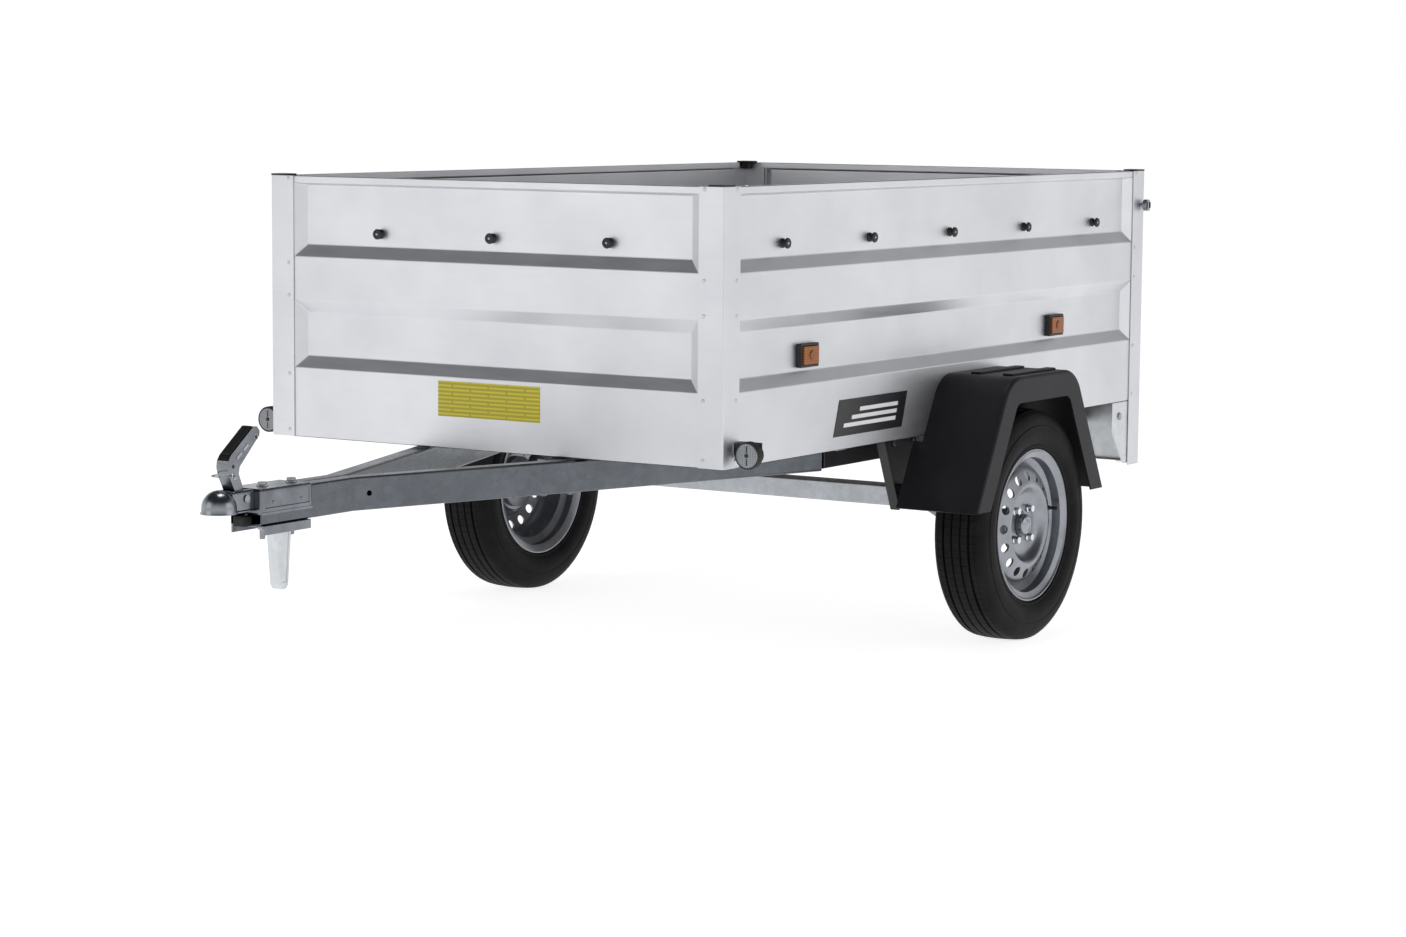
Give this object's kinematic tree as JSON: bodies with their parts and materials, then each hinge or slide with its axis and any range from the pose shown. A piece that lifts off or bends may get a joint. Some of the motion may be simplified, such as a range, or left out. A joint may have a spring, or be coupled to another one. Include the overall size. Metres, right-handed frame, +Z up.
{
  "type": "single-axle box trailer",
  "caption": "Single-axle utility trailer: open aluminium box with corrugated walls and drop tailgate on a galvanised V drawbar with ball coupling.",
  "frame": {"origin": "bottom centre of the bounding box: under the middle of the trailer, at the height where the tyres stand", "axes": "+X forwards to the coupling, +Y to the trailer's left, +Z up"},
  "size_m": [3.0452, 1.6, 1.105],
  "materials": {
    "aluminium_sheet": "satin rolled sheet",
    "black_plastic": "moulded, fine grain",
    "mudguard_plastic": "vacuum-formed, satin",
    "floor_board": "film-faced plywood",
    "galvanised_steel": "hot-dip galvanised with spangle",
    "black_coated_steel": "satin powder coat",
    "cast_steel": "cast",
    "zinc_plated_steel": "zinc plated",
    "silver_wheel_paint": "silver wheel paint",
    "tyre": "tyre rubber",
    "bright_chrome": "bright plated",
    "black_rubber": "moulded rubber",
    "red_lens": "moulded acrylic",
    "amber_lens": "moulded acrylic",
    "clear_reflector": "prismatic acrylic",
    "yellow_film": "printed film",
    "black_film": "printed film",
    "rivet_aluminium": "blind rivet"
  },
  "bodies": {
    "chassis": {"front_panel": "aluminium_sheet", "left_panel": "aluminium_sheet", "right_panel": "aluminium_sheet", "front_posts": "aluminium_sheet", "rear_posts": "aluminium_sheet", "post_caps": "black_plastic", "floor_board": "floor_board", "cross_members": "galvanised_steel", "left_drawbar_arm": "galvanised_steel", "right_drawbar_arm": "galvanised_steel", "chassis_rails": "black_coated_steel", "axle_beam": "galvanised_steel", "axle_brackets": "black_coated_steel", "left_mudguard": "mudguard_plastic", "right_mudguard": "mudguard_plastic", "rear_valance": "galvanised_steel", "rear_gussets": "galvanised_steel", "tail_lamp_bodies": "black_plastic", "tail_lamp_lenses": "red_lens", "plate_bracket": "black_plastic", "rear_reflectors": "red_lens", "hinge_leaves": "galvanised_steel", "coupling_housing": "zinc_plated_steel", "lever_pin": "zinc_plated_steel", "coupling_bolts": "bright_chrome", "clamp_plate": "galvanised_steel", "support_leg": "zinc_plated_steel", "drawbar_plug": "black_plastic", "reflector_brackets": "galvanised_steel", "reflector_bodies": "black_rubber", "reflector_lenses": "clear_reflector", "side_marker_bases": "black_plastic", "side_marker_lenses": "amber_lens", "type_plate": "yellow_film", "side_badges": "black_film", "cover_knobs": "black_plastic", "panel_rivets": "rivet_aluminium"},
    "left_arm": {"left_swing_arm": "cast_steel"},
    "right_arm": {"right_swing_arm": "cast_steel"},
    "left_wheel": {"left_hub": "cast_steel", "left_rim": "silver_wheel_paint", "left_tyre": "tyre", "left_wheel_bolts": "bright_chrome", "left_hub_cap": "bright_chrome", "left_valve": "black_rubber"},
    "right_wheel": {"right_hub": "cast_steel", "right_rim": "silver_wheel_paint", "right_tyre": "tyre", "right_wheel_bolts": "bright_chrome", "right_hub_cap": "bright_chrome", "right_valve": "black_rubber"},
    "tailgate": {"tailgate_panel": "aluminium_sheet", "tailgate_hinges": "galvanised_steel", "tailgate_keepers": "galvanised_steel"},
    "left_latch": {"left_latch": "zinc_plated_steel"},
    "right_latch": {"right_latch": "zinc_plated_steel"},
    "lever": {"coupling_lever": "zinc_plated_steel", "lever_grip": "black_plastic"},
    "clamp": {"ball_clamp": "cast_steel"},
    "ring": {"safety_ring": "zinc_plated_steel"}
  },
  "joints": [
    {"name": "left_suspension", "type": "hinge", "parent": "chassis", "child": "left_arm", "pos_m": [-0.4229, 0.56, 0.343], "axis": [0, 1, 0], "range_deg": [-6, 18], "stiffness_Nm_per_rad": 950, "springref_deg": -3.78},
    {"name": "right_suspension", "type": "hinge", "parent": "chassis", "child": "right_arm", "pos_m": [-0.4229, -0.56, 0.343], "axis": [0, 1, 0], "range_deg": [-6, 18], "stiffness_Nm_per_rad": 950, "springref_deg": -3.78},
    {"name": "left_wheel_spin", "type": "hinge", "parent": "left_arm", "child": "left_wheel", "pos_m": [-0.5579, 0.7155, 0.278], "axis": [0, 1, 0], "continuous": true},
    {"name": "right_wheel_spin", "type": "hinge", "parent": "right_arm", "child": "right_wheel", "pos_m": [-0.5579, -0.7155, 0.278], "axis": [0, 1, 0], "continuous": true},
    {"name": "tailgate_drop", "type": "hinge", "parent": "chassis", "child": "tailgate", "pos_m": [-1.4949, 0, 0.5], "axis": [0, -1, 0], "range_deg": [0, 120]},
    {"name": "left_latch_slide", "type": "slide", "parent": "chassis", "child": "left_latch", "axis": [0, -1, 0], "range_m": [0, 0.008]},
    {"name": "right_latch_slide", "type": "slide", "parent": "chassis", "child": "right_latch", "axis": [0, 1, 0], "range_m": [0, 0.008]},
    {"name": "lever_turn", "type": "hinge", "parent": "chassis", "child": "lever", "pos_m": [1.4321, 0, 0.484], "axis": [0, -1, 0], "range_deg": [0, 40]},
    {"name": "clamp_turn", "type": "hinge", "parent": "chassis", "child": "clamp", "pos_m": [1.4541, 0, 0.488], "axis": [0, -1, 0], "range_deg": [0, 6]},
    {"name": "ring_swing", "type": "hinge", "parent": "lever", "child": "ring", "pos_m": [1.4591, 0, 0.532], "axis": [0, -1, 0], "range_deg": [-12, 45]}
  ],
  "couplings": [
    {"joint": "clamp_turn", "follows": "lever_turn", "ratio": 0.15}
  ]
}
